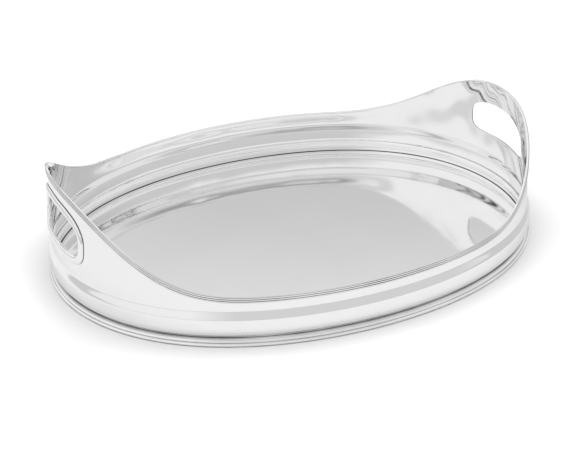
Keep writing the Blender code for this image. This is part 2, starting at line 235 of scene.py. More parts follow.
class TrayForm:
    """The tray's surfaces as formulas over the distance round the oval."""

    def __init__(self, shape):
        self.shape = shape
        self.scale = 1.0 / (1.0 - SQUARENESS)
        self.angles = np.linspace(0.0, 2.0 * math.pi, OUTLINE_STEPS + 1)
        points = self.outline(self.angles)[0]
        steps = np.linalg.norm(np.diff(points, axis=0), axis=1)
        self.lengths = np.concatenate(([0.0], np.cumsum(steps)))
        self.perimeter = self.lengths[-1]
        self.rise_of_handle = RIM_BOX[1].z - shape.rim_low
        self.section = smooth_section()
        self.waves = sheet_waves()

    def outline(self, angle):
        """Point and outward normal of the foot's outer outline at an angle of the oval."""
        shape = self.shape
        x = shape.half_length * self.scale * (np.cos(angle) - SQUARENESS * np.cos(3.0 * angle))
        y = shape.half_width * self.scale * (np.sin(angle) + SQUARENESS * np.sin(3.0 * angle))
        run_x = shape.half_length * (3.0 * SQUARENESS * np.sin(3.0 * angle) - np.sin(angle))
        run_y = shape.half_width * (np.cos(angle) + 3.0 * SQUARENESS * np.cos(3.0 * angle))
        zero = np.zeros_like(x)
        normal = np.stack((run_y, -run_x, zero), axis=-1)
        return np.stack((x, y, zero), axis=-1), unit(normal)

    def at(self, distance, offset, height):
        """Point at an offset square to the outline, at a height."""
        turn = np.interp(np.mod(distance, self.perimeter), self.lengths, self.angles)
        point, normal = self.outline(turn)
        place = point + normal * np.asarray(offset)[..., None]
        place[..., 2] = height
        return place

    def outward(self, distance):
        turn = np.interp(np.mod(distance, self.perimeter), self.lengths, self.angles)
        return self.outline(turn)[1]

    def lobe(self, distance):
        """1 at the middle of a handle, 0 along the sides."""
        along = np.mod(distance, 0.5 * self.perimeter)
        from_end = np.minimum(along, 0.5 * self.perimeter - along)
        turn = math.pi * np.minimum(from_end / HANDLE_REACH, 1.0) ** HANDLE_EASE
        return 0.5 * (1.0 + np.cos(turn)) - HANDLE_TAPER * np.sin(turn) ** 2

    def rim_height(self, distance):
        return self.shape.rim_low + self.rise_of_handle * self.lobe(distance)

    def rim_offset(self, distance):
        return RIM_OFFSET + HANDLE_LEAN * (self.rim_height(distance) - self.shape.rim_low)

    def rim_edge(self, distance):
        """Point at the border's top, above the gallery's outer face."""
        return self.at(distance, self.rim_offset(distance), self.rim_height(distance))

    def waviness(self, distance, height):
        """Shallow ripples left in the sheet by forming and polishing, deeper in the handles."""
        turn = 2.0 * math.pi * distance / self.perimeter
        ripple = np.zeros(np.broadcast(distance, height).shape)
        for around, upward, phase, depth in self.waves:
            ripple += depth * np.sin(around * turn + upward * height + phase)
        fade = np.clip((height - GROOVE_HEIGHT) / (WAIST_HEIGHT - GROOVE_HEIGHT), 0.0, 1.0)
        grip = np.clip(self.lobe(distance), 0.0, 1.0)
        tall = np.clip((height - WAIST_HEIGHT) / 0.03, 0.0, 1.0)
        return self.shape.waviness * ripple * fade * (1.0 + 1.6 * grip * tall)

    def wall(self, distance, rise):
        """Point of the gallery's outer face: rise is 0 at its foot, 1 at the waist, 2 on top."""
        distance, rise = np.broadcast_arrays(distance, rise)
        low = np.clip(rise, 0.0, 1.0)
        rows, offsets, heights = self.section
        offset = np.interp(low, rows, offsets)
        height = np.interp(low, rows, heights)
        up = np.clip(rise - 1.0, 0.0, 1.0)
        height = height + (self.sheet_top(distance) - WAIST_HEIGHT) * up
        step = up * up * (3.0 - 2.0 * up)
        offset = offset + (self.rim_offset(distance) - WAIST_OFFSET) * step
        return self.at(distance, offset + self.waviness(distance, height), height)

    def sheet_top(self, distance):
        """Height of the gallery's top edge, under the border's cap."""
        before = self.rim_height(distance - SHORT_STEP)
        after = self.rim_height(distance + SHORT_STEP)
        climb = (after - before) / (2.0 * SHORT_STEP)
        return self.rim_height(distance) - (BORDER_CAP + GAP) * np.sqrt(1.0 + climb * climb)

    def rise_at(self, distance, height):
        """Rise of a point above the waist, from its height."""
        return 1.0 + (height - WAIST_HEIGHT) / (self.sheet_top(distance) - WAIST_HEIGHT)

    def wall_normal(self, distance, rise):
        """Outward normal of the gallery's outer face."""
        step = 0.0006
        small = 0.0015
        along = self.wall(distance + step, rise) - self.wall(distance - step, rise)
        high = np.minimum(rise + small, 2.0)
        low = np.maximum(rise - small, 0.0)
        upward = self.wall(distance, high) - self.wall(distance, low)
        return unit(np.cross(along, upward))


def unit(vectors):
    return vectors / np.linalg.norm(vectors, axis=-1, keepdims=True)


def eased(part, blend):
    """0 to 1 along a straight run that starts and ends level, over a share of its length."""
    slope = 1.0 / (1.0 - blend)
    near = np.minimum(part, 1.0 - part)
    run = np.where(near < blend, slope * near * near / (2.0 * blend), slope * (near - 0.5 * blend))
    return np.where(part < 0.5, run, 1.0 - run)


def smooth_section():
    """Gallery's outer face from foot to waist as (share of its length, offset, height)."""
    turn = np.linspace(0.0, 0.5 * math.pi, 200)
    part = np.linspace(0.0, 1.0, 300)[1:]
    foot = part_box("gallery_half_right")[0].z
    offsets = np.concatenate((
        [WALL_FOOT_OFFSET, WALL_FOOT_OFFSET, GROOVE_OFFSET],
        GROOVE_OFFSET + (BELLY_OFFSET - GROOVE_OFFSET) * np.sin(turn[1:]),
        BELLY_OFFSET + (SHOULDER_OFFSET - BELLY_OFFSET) * part * part,
        SHOULDER_OFFSET + (WAIST_OFFSET - SHOULDER_OFFSET) * eased(part, CONE_BLEND)))
    heights = np.concatenate((
        [foot, FOOT_TOP, GROOVE_HEIGHT],
        BELLY_HEIGHT - (BELLY_HEIGHT - GROOVE_HEIGHT) * np.cos(turn[1:]),
        BELLY_HEIGHT + (SHOULDER_HEIGHT - BELLY_HEIGHT) * part,
        SHOULDER_HEIGHT + (WAIST_HEIGHT - SHOULDER_HEIGHT) * part))
    run = np.concatenate(([0.0], np.cumsum(np.hypot(np.diff(offsets), np.diff(heights)))))
    count = 2400
    even = np.linspace(0.0, run[-1], count)
    offsets = np.interp(even, run, offsets)
    heights = np.interp(even, run, heights)
    spread = int(0.00035 / (run[-1] / count))
    reach = np.arange(-4 * spread, 4 * spread + 1)
    weights = np.exp(-0.5 * (reach / spread) ** 2)
    weights /= weights.sum()
    smoothed = []
    for values in (offsets, heights):
        before = 2.0 * values[0] - values[4 * spread:0:-1]
        after = 2.0 * values[-1] - values[-2:-2 - 4 * spread:-1]
        smoothed.append(np.convolve(np.concatenate((before, values, after)), weights, "valid"))
    return even / run[-1], smoothed[0], smoothed[1]


def section_rows(section, count):
    """Rises of the rows from foot to waist, closer together where the section turns."""
    rows, offsets, heights = section
    heading = np.unwrap(np.arctan2(np.gradient(heights), np.gradient(offsets)))
    length = np.hypot(np.diff(offsets), np.diff(heights))
    weight = length / 0.0035 + np.abs(np.diff(heading)) / math.radians(14.0)
    measure = np.concatenate(([0.0], np.cumsum(weight)))
    return np.interp(np.linspace(0.0, measure[-1], count), measure, rows)


def sheet_waves():
    """Ripples as (waves round the oval, radians for each metre of height, phase, depth)."""
    random = np.random.default_rng(11)
    waves = []
    for around in (9, 14, 19, 26, 33, 41, 52, 61, 70):
        for lean in (-1.0, 1.0):
            upward = lean * random.uniform(40.0, 190.0)
            phase = random.uniform(0.0, 2.0 * math.pi)
            waves.append((around, upward, phase, 6.0 / around * random.uniform(0.5, 1.0)))
    return waves


# ---------------------------------------------------------------- mesh helpers


def grid_faces(rows, columns, close_rows=False, close_columns=False):
    """Quads over a grid of vertices numbered row by row."""
    row = np.arange(rows if close_rows else rows - 1)
    column = np.arange(columns if close_columns else columns - 1)
    r, c = np.meshgrid(row, column, indexing="ij")
    r_next = (r + 1) % rows
    c_next = (c + 1) % columns
    quads = np.stack((r * columns + c, r * columns + c_next,
                      r_next * columns + c_next, r_next * columns + c), axis=-1)
    return quads.reshape(-1, 4)


def new_object(name, points, faces, material, joint_shade=None):
    """Smooth-shaded mesh object; joint_shade is 1 at points deep in a joint, where shade is
    painted into the colour.
    """
    mesh = bpy.data.meshes.new(name)
    mesh.from_pydata(np.asarray(points).reshape(-1, 3).tolist(), [], [list(f) for f in faces])
    mesh.shade_smooth()
    if joint_shade is not None:
        mesh.attributes.new(JOINT_SHADE, "FLOAT", "POINT").data.foreach_set(
            "value", np.asarray(joint_shade, dtype=np.float32).ravel())
    mesh.materials.append(material)
    item = bpy.data.objects.new(name, mesh)
    bpy.context.scene.collection.objects.link(item)
    return item


def place(item, node, slot):
    """A piece rides with the tray's one body and stands for its plain CAD solid."""
    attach(item, BODY)
    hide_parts(node)


def stations(form):
    count = form.shape.stations
    return form.perimeter * np.arange(count) / count


# ---------------------------------------------------------------- pieces


def hand_hole(shape, turn, widen=0.0):
    """Hand hole's outline as (distance round the oval from the handle's middle, height)."""
    c = np.cos(turn)
    s = np.sin(turn)
    power = 2.0 / HOLE_ROUNDNESS
    across = np.copysign(np.abs(c) ** power, c)
    upward = np.copysign(np.abs(s) ** power, s)
    slope = HOLE_ROUNDNESS - 1.0
    normal = unit(np.stack((np.copysign(np.abs(across) ** slope, c) / shape.hole_half_width,
                            np.copysign(np.abs(upward) ** slope, s) / shape.hole_half_height),
                           axis=-1))
    distance = shape.hole_half_width * across + normal[..., 0] * widen
    height = shape.hole_half_height * upward + normal[..., 1] * widen
    droop = HOLE_DROOP * (distance / shape.hole_half_width) ** 2
    return distance, HOLE_HEIGHT + height - droop


def hole_turns(shape, count):
    """Even steps along the hole's outline."""
    fine = np.linspace(0.0, 2.0 * math.pi, 4001)
    distance, height = hand_hole(shape, fine)
    run = np.concatenate(([0.0], np.cumsum(np.hypot(np.diff(distance), np.diff(height)))))
    return np.interp(run[-1] * np.arange(count) / count, run, fine)


def hole_turns_towards(shape, distance, height):
    """Turns of the hole's outline in the directions of the given points."""
    fine = np.linspace(-math.pi, math.pi, 4001)
    edge_distance, edge_height = hand_hole(shape, fine)
    bearing = np.unwrap(np.arctan2(edge_height - HOLE_HEIGHT, edge_distance))
    wanted = np.arctan2(height - HOLE_HEIGHT, distance)
    wanted = bearing[0] + np.mod(wanted - bearing[0], 2.0 * math.pi)
    return np.interp(wanted, bearing, fine)


def joint_share(height, joint, reach):
    """1 at a joint's height and below it, falling to 0 over the reach above it."""
    return np.clip(1.0 - (height - joint) / reach, 0.0, 1.0)


class GalleryMesh:
    """Collects the points, normals and faces of one half of the gallery."""

    def __init__(self):
        self.points = []
        self.normals = []
        self.joint_shades = []
        self.faces = []
        self.count = 0

    def add(self, points, normals, joint_shade=0.0):
        """Adds vertices, and returns their numbers in the shape of the grid given."""
        grid = points.shape[:-1]
        self.joint_shades.append(np.broadcast_to(joint_shade, grid).ravel())
        self.points.append(points.reshape(-1, 3))
        self.normals.append(normals.reshape(-1, 3))
        first = self.count
        self.count += int(np.prod(grid))
        return np.arange(first, self.count).reshape(grid)

    def strip(self, first, second, closed=False):
        """Quads between two rows of vertices."""
        if closed:
            first = np.append(first, first[0])
            second = np.append(second, second[0])
        self.faces.append(np.stack((first[:-1], first[1:], second[1:], second[:-1]), axis=-1))

    def finish(self, name, material):
        points = np.concatenate(self.points)
        normals = np.concatenate(self.normals)
        faces = np.concatenate(self.faces)
        used, remapped = np.unique(faces, return_inverse=True)
        faces = remapped.reshape(-1, 4)
        item = new_object(name, points[used], faces, material, np.concatenate(self.joint_shades)[used])
        normals = normals[used]
        item.data.normals_split_custom_set(normals[faces.reshape(-1)].tolist())
        return item


def add_side(mesh, form, middle, rise, columns, inner):
    """One face of the sheet, with the hand hole left open; returns its grid and hole edge."""
    shape = form.shape
    distance = middle + columns
    depth = shape.gauge if inner else 0.0
    facing = -1.0 if inner else 1.0
    grid_distance, grid_rise = np.meshgrid(distance, rise, indexing="xy")
    normal = form.wall_normal(grid_distance, grid_rise)
    face = form.wall(grid_distance, grid_rise) - normal * depth
    # Painted shade: dark at the inner face's foot where it meets the floor panel, and on the outer
    # face just above the foot.
    if inner:
        joint_shade = joint_share(face[..., 2], FLOOR_BOX[1].z + GAP, CREASE_REACH)
    else:
        joint_shade = joint_share(face[..., 2], FOOT_TOP, GROOVE_REACH)
    grid = mesh.add(face, normal * facing, joint_shade)

    def strip(first, second, closed=False):
        if inner:
            first, second = second, first
        mesh.strip(first, second, closed)

    waist = int(np.argmin(np.abs(rise - 1.0)))
    centre = len(columns) // 2
    left = centre - PATCH_STATIONS
    right = centre + PATCH_STATIONS
    for row in range(len(rise) - 1):
        parts = [grid[:, :left + 1], grid[:, right:]] if row >= waist else [grid]
        for part in parts:
            strip(part[row], part[row + 1])
    top = len(rise) - 1
    loop = np.concatenate((grid[waist, left:right], grid[waist:top, right],
                           grid[top, right:left:-1], grid[top:waist:-1, left]))
    rows = np.concatenate((np.full(right - left, waist), np.arange(waist, top),
                           np.full(right - left, top), np.arange(top, waist, -1)))
    cols = np.concatenate((np.arange(left, right), np.full(top - waist, right),
                           np.arange(right, left, -1), np.full(top - waist, left)))
    loop_distance = columns[cols]
    tall = form.sheet_top(middle + loop_distance) - WAIST_HEIGHT
    loop_height = WAIST_HEIGHT + (rise[rows] - 1.0) * tall
    turns = hole_turns_towards(shape, loop_distance, loop_height)
    edge_distance, edge_height = hand_hole(shape, turns, HOLE_LIP)
    layers = 12
    last = None
    for layer in range(layers):
        share = (layer / layers) ** 1.6
        near = middle + edge_distance + (loop_distance - edge_distance) * share
        height = edge_height + (loop_height - edge_height) * share
        patch_rise = form.rise_at(near, height)
        normal = form.wall_normal(near, patch_rise)
        row = mesh.add(form.wall(near, patch_rise) - normal * depth, normal * facing)
        if last is None:
            edge = row
        else:
            strip(row, last, closed=True)
        last = row
    strip(loop, last, closed=True)
    return grid, edge, turns


def add_hole_lip(mesh, form, middle, turns, outer_edge, inner_edge):
    """The sheet's rounded edge inside the hand hole, from the outer to the inner face."""
    shape = form.shape
    spots = []
    for widen in (HOLE_LIP, HOLE_LIP + 0.0005):
        distance, height = hand_hole(shape, turns, widen)
        rise = form.rise_at(middle + distance, height)
        spots.append((form.wall(middle + distance, rise),
                      form.wall_normal(middle + distance, rise)))
    base, normal = spots[0]
    inward = unit(base - spots[1][0])
    last = outer_edge
    steps = 5
    for end_depth, first in ((HOLE_LIP, 1), (shape.gauge - HOLE_LIP, steps)):
        span = range(first, steps + 1) if first == 1 else range(steps, 2 * steps)
        for step in span:
            turn = math.pi * step / (2 * steps)
            facing = normal * math.cos(turn) + inward * math.sin(turn)
            row = mesh.add(base - normal * end_depth + facing * HOLE_LIP, facing)
            mesh.strip(last, row, closed=True)
            last = row
    mesh.strip(last, inner_edge, closed=True)


def build_gallery_half(form, name, middle, material):
    """Half of the gallery wall: one sheet, open at its hand hole, with its ends closed where the
    halves meet.
    """
    shape = form.shape
    mesh = GalleryMesh()
    quarter = shape.stations // 4
    columns = form.perimeter * np.arange(-quarter, quarter + 1) / shape.stations
    upper = np.linspace(1.0, 2.0, 25)
    lower = section_rows(form.section, 32)
    rise = np.concatenate(([0.0, 0.012, 0.024], lower[lower > 0.03], upper[1:]))
    outer, outer_edge, turns = add_side(mesh, form, middle, rise, columns, inner=False)
    inner, inner_edge, turns = add_side(mesh, form, middle, rise, columns, inner=True)
    add_hole_lip(mesh, form, middle, turns, outer_edge, inner_edge)
    mesh.strip(outer[-1], inner[-1])
    mesh.strip(inner[0], outer[0])
    mesh.strip(inner[:, 0], outer[:, 0])
    mesh.strip(outer[:, -1], inner[:, -1])
    return mesh.finish(name, material)


def sweep(form, name, section, material, sharp_degrees):
    """Ring of one closed section, given as (offset, height, painted shade), round the oval."""
    distance = stations(form)
    rings = [form.at(distance, offset, height) for offset, height, joint_shade in section]
    points = np.stack(rings, axis=1)
    joint_shades = np.tile([joint_shade for offset, height, joint_shade in section], len(distance))
    faces = grid_faces(len(distance), len(section), close_rows=True, close_columns=True)
    item = new_object(name, points, faces[:, ::-1], material, joint_shades)
    item.data.set_sharp_from_angle(angle=math.radians(sharp_degrees))
    return item


def arc(centre, radius, first, last, steps):
    """Points of an arc as (offset, height), in degrees from the outward direction."""
    turns = np.radians(np.linspace(first, last, steps + 1))
    return [(centre[0] + radius * math.cos(t), centre[1] + radius * math.sin(t)) for t in turns]


def foot_section():
    """Foot moulding: a lip under the floor panel, a bead, a cove and a flat top edge."""
    edge = 0.0004
    radius = FOOT_BEAD_RADIUS
    points = [(FOOT_LIP_INNER, FOOT_LIP_TOP), (FOOT_LIP_INNER, 0.0)]
    points += arc((-radius, radius), radius, -90.0, 62.0, 16)
    low = FOOT_COVE_LOW
    top = FOOT_COVE_TOP
    steps = 12
    for i in range(steps + 1):
        turn = 0.5 * math.pi * i / steps
        points.append((top[0] + (low[0] - top[0]) * (1.0 - math.sin(turn)),
                       low[1] + (top[1] - edge - low[1]) * (1.0 - math.cos(turn))))
    points += arc((top[0] - edge, top[1] - edge), edge, 15.0, 90.0, 4)
    points.append((WALL_FOOT_OFFSET + GAP, FOOT_TOP))
    points.append((WALL_FOOT_OFFSET + GAP, FOOT_LIP_TOP))
    section = []
    for out, up in points:
        # Painted shade round the crook between the bead and the cove, and down the cove from under
        # the gallery.
        crook = joint_share(abs(up - low[1]), 0.0, CROOK_REACH) if out > top[0] else 0.0
        seat = joint_share(FOOT_TOP - up, 0.0, COVE_REACH) if up > FOOT_LIP_TOP else 0.0
        section.append((out, up, max(0.45 * crook, 0.8 * seat)))
    return section


def build_foot(form, material):
    return sweep(form, "tray_foot", foot_section(), material, 40.0)


def build_floor_panel(form, material):
    """Oval sheet, almost flat: forming and use have left faint swells in its middle."""
    distance = stations(form)
    wall = WALL_FOOT_OFFSET - form.shape.gauge
    field = form.at(distance, wall - 0.0045, 0.0)
    rings = [field * share for share in np.linspace(0.0, 1.0, 28)[1:]]
    joint_shades = [0.0] * len(rings)
    # Painted shade on the panel's edge, where it meets the gallery's inner face.
    for step, joint_shade in ((-0.0025, 0.0), (-0.0012, 0.0), (-0.0008, 1.0), (0.0, 1.0), (0.0013, 1.0)):
        rings.append(form.at(distance, wall + step, 0.0))
        joint_shades.append(joint_shade)
    for ring in rings:
        x, y = ring[:, 0], ring[:, 1]
        swell = 2.2
        for along, across, phase, depth in FLOOR_SWELLS:
            swell = swell + depth * np.sin(along * x + across * y + phase)
        share = (x / form.shape.half_length) ** 2 + (y / form.shape.half_width) ** 2
        ring[:, 2] = FLOOR_BOX[1].z - SWELL_DEPTH * swell * np.clip(1.0 - share ** 2, 0.0, 1.0)
    count = len(distance)
    bottom = np.array(rings[-1])
    bottom[:, 2] = FLOOR_BOX[0].z
    points = np.concatenate(rings + [bottom])
    centre = len(points)
    points = np.concatenate((points, [[0.0, 0.0, FLOOR_BOX[1].z - 0.00010],
                                      [0.0, 0.0, FLOOR_BOX[0].z]]))
    faces = [list(f) for f in grid_faces(len(rings) + 1, count, close_columns=True)[:, ::-1]]
    low = len(rings) * count
    for i in range(count):
        j = (i + 1) % count
        faces.append([centre, i, j])
        faces.append([centre + 1, low + j, low + i])
    joint_shades = np.concatenate((np.repeat(joint_shades + [1.0], count), [0.0, 0.0]))
    item = new_object("tray_floor", points, faces, material, joint_shades)
    item.data.set_sharp_from_angle(angle=math.radians(40.0))
    return item


def border_section(shape):
    """Closed section of the border as (outward, upward) from the rim's edge."""
    edge = 0.00025
    root = 0.0006
    points = [(-shape.gauge, -BORDER_CAP), (GAP, -BORDER_CAP), (GAP, -shape.border_depth)]
    pitch = shape.border_depth / shape.reeds
    proud = shape.border_proud - root
    steps = 10
    for k in range(shape.reeds):
        centre = -shape.border_depth + pitch * (k + 0.5)
        for i in range(steps):
            turn = math.pi * (i / steps - 0.5)
            points.append((root + proud * math.cos(turn) ** 0.7,
                           centre + 0.5 * pitch * math.sin(turn)))
    points.append((0.5 * root, 0.0))
    points += arc((-shape.gauge + edge, -BORDER_INNER_DROP - edge), edge, 80.0, 180.0, 5)
    section = []
    for out, up in points:
        # Painted shade in the valleys between the reeds.
        valley = abs(math.sin(math.pi * (up / pitch + 0.5)))
        dark = min(max((valley - 0.45) / 0.3, 0.0), 1.0)
        section.append((out, up, dark if out > root / 2 else 0.0))
    return section


def build_rim_border(form, material):
    """Reeded border: it caps the gallery's edge and laps down its outer face."""
    distance = stations(form)
    edge = form.rim_edge(distance)
    tangent = unit(form.rim_edge(distance + SHORT_STEP) - form.rim_edge(distance - SHORT_STEP))
    outward = form.outward(distance)
    upward = unit(np.cross(outward, tangent))
    section = border_section(form.shape)
    points = np.stack([edge + outward * out + upward * up for out, up, joint_shade in section], axis=1)
    joint_shades = np.tile([joint_shade for out, up, joint_shade in section], len(distance))
    faces = grid_faces(len(distance), len(section), close_rows=True, close_columns=True)
    item = new_object("tray_rim_border", points, faces[:, ::-1], material, joint_shades)
    item.data.set_sharp_from_angle(angle=math.radians(45.0))
    return item


def build_collar(form, name, middle, material):
    """Low domed border soldered round a hand hole, on the handle's outer face."""
    shape = form.shape
    turns = hole_turns(shape, 160)
    rows = []
    joint_shades = []
    steps = 18
    for i in range(steps + 1):
        turn = math.pi * i / steps
        widen = 0.5 * shape.collar_width * (1.0 - math.cos(turn))
        distance, height = hand_hole(shape, turns, widen)
        rise = form.rise_at(middle + distance, height)
        normal = form.wall_normal(middle + distance, rise)
        proud = GAP + shape.collar_proud * math.sin(turn)
        rows.append(form.wall(middle + distance, rise) + normal * proud)
        # Painted shade along the collar's outer edge, where it meets the handle.
        joint_shades.append(np.full(len(turns), max(0.0, 8.0 * i / steps - 7.2)))
    points = np.stack(rows, axis=0)
    faces = grid_faces(len(rows), len(turns), close_rows=True, close_columns=True)
    item = new_object(name, points, faces[:, ::-1], material, np.stack(joint_shades))
    item.data.set_sharp_from_angle(angle=math.radians(50.0))
    return item


# ---------------------------------------------------------------- shader node groups


def add_node(tree, kind, place=(0, 0), **values):
    node = tree.nodes.new(kind)
    node.location = place
    for name, value in values.items():
        setattr(node, name, value)
    return node


def new_group(name, inputs, outputs):
    """Empty node group with float inputs as (name, default) and named float outputs."""
    tree = bpy.data.node_groups.new(name, "ShaderNodeTree")
    for label, default in inputs:
        socket = tree.interface.new_socket(name=label, in_out="INPUT",
                                           socket_type="NodeSocketFloat")
        socket.default_value = default
    for label in outputs:
        tree.interface.new_socket(name=label, in_out="OUTPUT", socket_type="NodeSocketFloat")
    start = add_node(tree, "NodeGroupInput", (-900, 0))
    end = add_node(tree, "NodeGroupOutput", (700, 0))
    return tree, start, end


def maths(tree, operation, first, second=None, place=(0, 0), third=None):
    """Math node; each operand is a socket or a number."""
    node = add_node(tree, "ShaderNodeMath", place, operation=operation)
    for i, operand in enumerate((first, second, third)):
        if operand is None:
            continue
        if isinstance(operand, (int, float)):
            node.inputs[i].default_value = operand
        else:
            tree.links.new(operand, node.inputs[i])
    return node.outputs[0]


def ranged(tree, value, low, high, place, interpolation="LINEAR"):
    """0 to 1 as a value goes from low to high."""
    node = add_node(tree, "ShaderNodeMapRange", place, interpolation_type=interpolation)
    node.inputs["From Min"].default_value = low
    node.inputs["From Max"].default_value = high
    tree.links.new(value, node.inputs["Value"])
    return node.outputs[0]


def noise_field(tree, where, scale, detail, place, distortion=0.0):
    """Noise over a piece; the scale is a socket or a number."""
    noise = add_node(tree, "ShaderNodeTexNoise", place)
    noise.inputs["Detail"].default_value = detail
    noise.inputs["Distortion"].default_value = distortion
    if isinstance(scale, (int, float)):
        noise.inputs["Scale"].default_value = scale
    else:
        tree.links.new(scale, noise.inputs["Scale"])
    tree.links.new(where, noise.inputs["Vector"])
    return noise.outputs["Fac"]


def mixed(tree, share, first, second, place):
    """Blend of two colours; each is a socket or a plain colour."""
    node = add_node(tree, "ShaderNodeMix", place, data_type="RGBA")
    tree.links.new(share, node.inputs["Factor"])
    for name, colour in (("A", first), ("B", second)):
        if isinstance(colour, bpy.types.NodeSocket):
            tree.links.new(colour, node.inputs[name])
        else:
            node.inputs[name].default_value = (*colour, 1.0)
    return node.outputs["Result"]


def polishing_marks():
    """Hairlines left by the polishing mop, in two crossing directions."""
    tree, start, end = new_group("polishing_marks", [("Fineness", 1.0)], ["Height", "Mask"])
    where = add_node(tree, "ShaderNodeTexCoord", (-900, -300))
    fields = []
    for i, lean in enumerate((0.35, -0.9)):
        turned = add_node(tree, "ShaderNodeMapping", (-650, -300 * i))
        turned.inputs["Rotation"].default_value = (lean, 0.3 * lean, lean)
        turned.inputs["Scale"].default_value = (1.0, 0.03, 1.0)
        tree.links.new(where.outputs["Object"], turned.inputs["Vector"])
        scale = maths(tree, "MULTIPLY", start.outputs["Fineness"], 1400.0 + 500.0 * i,
                      (-600, 150 - 300 * i))
        fields.append(noise_field(tree, turned.outputs[0], scale, 3.0, (-400, -300 * i)))
    both = maths(tree, "MULTIPLY", fields[0], fields[1], (0, 0))
    tree.links.new(both, end.inputs["Height"])
    tree.links.new(ranged(tree, both, 0.30, 0.46, (200, -150)), end.inputs["Mask"])


def handling_haze():
    """Soft patches where hands and cloths have dulled the shine."""
    tree, _, end = new_group("handling_haze", [], ["Mask", "Tone"])
    where = add_node(tree, "ShaderNodeTexCoord", (-900, -300))
    noise = noise_field(tree, where.outputs["Object"], HAZE_SCALE, 5.0, (-400, 0), 0.6)
    patch = ranged(tree, noise, 0.42, 0.72, (0, 0), "SMOOTHSTEP")
    tree.links.new(patch, end.inputs["Mask"])
    tone = ranged(tree, noise, 0.30, 0.70, (0, -250))
    tree.links.new(tone, end.inputs["Tone"])


def height_wear():
    """Rubbed or tarnished band between two heights, broken up by fine noise."""
    tree, start, end = new_group("height_wear", [("Low", 0.0), ("High", 0.002)], ["Mask"])
    where = add_node(tree, "ShaderNodeTexCoord", (-900, -300))
    split = add_node(tree, "ShaderNodeSeparateXYZ", (-700, -300))
    tree.links.new(where.outputs["Object"], split.inputs[0])
    band = add_node(tree, "ShaderNodeMapRange", (-300, 0))
    band.interpolation_type = "SMOOTHSTEP"
    band.inputs["To Min"].default_value = 1.0
    band.inputs["To Max"].default_value = 0.0
    tree.links.new(split.outputs["Z"], band.inputs["Value"])
    tree.links.new(start.outputs["Low"], band.inputs["From Min"])
    tree.links.new(start.outputs["High"], band.inputs["From Max"])
    noise = noise_field(tree, where.outputs["Object"], WEAR_SCALE, 6.0, (-300, -300))
    broken = maths(tree, "MULTIPLY", noise, 0.5, (-50, -300))
    kept = maths(tree, "SUBTRACT", 1.0, broken, (120, -300))
    tree.links.new(maths(tree, "MULTIPLY", band.outputs[0], kept, (300, 0)), end.inputs["Mask"])


def group_node(tree, name, place, **values):
    node = add_node(tree, "ShaderNodeGroup", place)
    node.node_tree = bpy.data.node_groups[name]
    for label, value in values.items():
        node.inputs[label].default_value = value
    return node


def polished_metal(name, finish, shine=1.0, fineness=1.0, haze=0.03, wear=(0.0, 0.001),
                   joint_shade_depth=1.0):
    """Polished metal with mop marks, haze from handling and shade painted into its joints."""
    material = bpy.data.materials.new(name)
    material.use_nodes = True
    tree = material.node_tree
    shader = tree.nodes["Principled BSDF"]
    shader.inputs["Metallic"].default_value = 1.0
    marks = group_node(tree, "polishing_marks", (-900, -400), Fineness=fineness)
    dull = group_node(tree, "handling_haze", (-900, 0))
    rubbed = group_node(tree, "height_wear", (-900, 250), Low=wear[0], High=wear[1])

    worn = maths(tree, "MULTIPLY", rubbed.outputs["Mask"], 0.55, (-650, 350))
    slight = maths(tree, "MULTIPLY", dull.outputs["Tone"], 0.06, (-650, 150))
    worn = maths(tree, "ADD", worn, slight, (-520, 300))
    tone = mixed(tree, worn, finish.metal_colour, finish.tarnish_colour, (-400, 300))
    # Painted shade: the joint attribute darkens the colour towards the joint colour, unevenly
    # along the joints.
    joint = add_node(tree, "ShaderNodeAttribute", (-650, 600), attribute_name=JOINT_SHADE)
    uneven = maths(tree, "MULTIPLY_ADD", dull.outputs["Tone"], 0.5, (-650, 750), third=0.6)
    uneven = maths(tree, "MULTIPLY", uneven, joint_shade_depth, (-520, 750))
    joint_shade = maths(tree, "MULTIPLY", joint.outputs["Fac"], uneven, (-450, 600))
    joint_shade.node.use_clamp = True
    tone = mixed(tree, joint_shade, tone, finish.joint_shade_colour, (-200, 400))
    tree.links.new(tone, shader.inputs["Base Color"])

    rough = maths(tree, "MULTIPLY", dull.outputs["Mask"], haze, (-650, -50))
    rough = maths(tree, "ADD", rough, finish.roughness * shine, (-500, -50))
    lines = maths(tree, "MULTIPLY", marks.outputs["Mask"], 0.03, (-650, -200))
    rough = maths(tree, "ADD", rough, lines, (-350, -100))
    scuffed = maths(tree, "MULTIPLY", rubbed.outputs["Mask"], WEAR_ROUGHNESS, (-500, 100))
    tree.links.new(maths(tree, "ADD", rough, scuffed, (-200, -50)), shader.inputs["Roughness"])

    bump = add_node(tree, "ShaderNodeBump", (-400, -400))
    bump.inputs["Strength"].default_value = 1.0
    bump.inputs["Distance"].default_value = finish.scratch_depth
    tree.links.new(marks.outputs["Height"], bump.inputs["Height"])
    tree.links.new(bump.outputs["Normal"], shader.inputs["Normal"])
    return material


# ---------------------------------------------------------------- the studio


def view_directions(stage):
    """Directions from the tray to the camera, to the view's right and up."""
    azimuth, elevation = stage.azimuth, stage.elevation
    back = Vector((math.sin(azimuth) * math.cos(elevation),
                   -math.cos(azimuth) * math.cos(elevation), math.sin(elevation)))
    right = Vector((math.cos(azimuth), math.sin(azimuth), 0.0))
    return back, right, back.cross(right)


def build_camera(stage):
    back, right, up = view_directions(stage)
    data = bpy.data.cameras.new("studio_camera")
    data.lens = stage.lens
    data.sensor_width = 36.0
    data.clip_start = 0.05
    data.clip_end = 50.0
    camera = bpy.data.objects.new("studio_camera", data)
    bpy.context.scene.collection.objects.link(camera)
    camera.location = back * stage.distance
    target = right * stage.aim_right + up * stage.aim_up
    level = (target - camera.location).to_track_quat("-Z", "Y")
    camera.rotation_euler = (level @ Quaternion((0.0, 0.0, 1.0), stage.roll)).to_euler()
    bpy.context.scene.camera = camera


